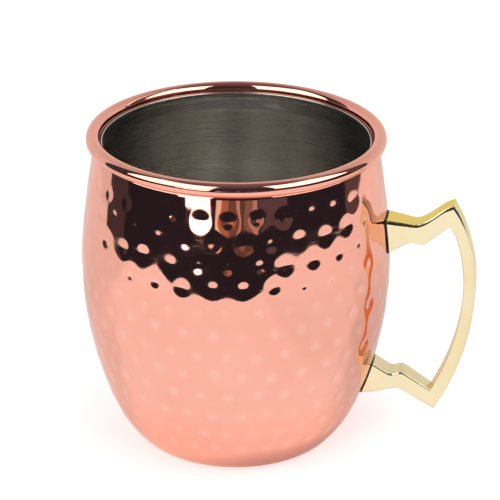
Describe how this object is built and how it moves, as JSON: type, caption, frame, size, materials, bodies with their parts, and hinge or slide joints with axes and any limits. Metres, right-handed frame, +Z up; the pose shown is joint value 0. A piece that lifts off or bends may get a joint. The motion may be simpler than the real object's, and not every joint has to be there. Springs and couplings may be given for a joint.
{
  "type": "copper mug",
  "caption": "Barrel-shaped hammered copper mug with a rolled rim, a steel liner and an angular cast brass handle held from inside the cup.",
  "frame": {"origin": "centre of the flat base that the mug stands on", "axes": "+Z up along the body's axis, +X out through the handle"},
  "size_m": [0.1182, 0.0924, 0.096],
  "materials": {
    "copper": "polished copper, hammered with round dimples",
    "liner_steel": "satin stainless steel",
    "wire_steel": "drawn wire",
    "brass": "polished cast brass",
    "screw_steel": "plain stainless steel",
    "seal_rubber": "matt black"
  },
  "bodies": {
    "root": {"outer_shell": "copper", "inner_liner": "liner_steel", "rim_wire": "wire_steel", "handle": "brass", "upper_foot_seal": "seal_rubber", "lower_foot_seal": "seal_rubber", "upper_washer": "screw_steel", "lower_washer": "screw_steel", "upper_handle_screw": "screw_steel", "lower_handle_screw": "screw_steel"}
  },
  "joints": []
}
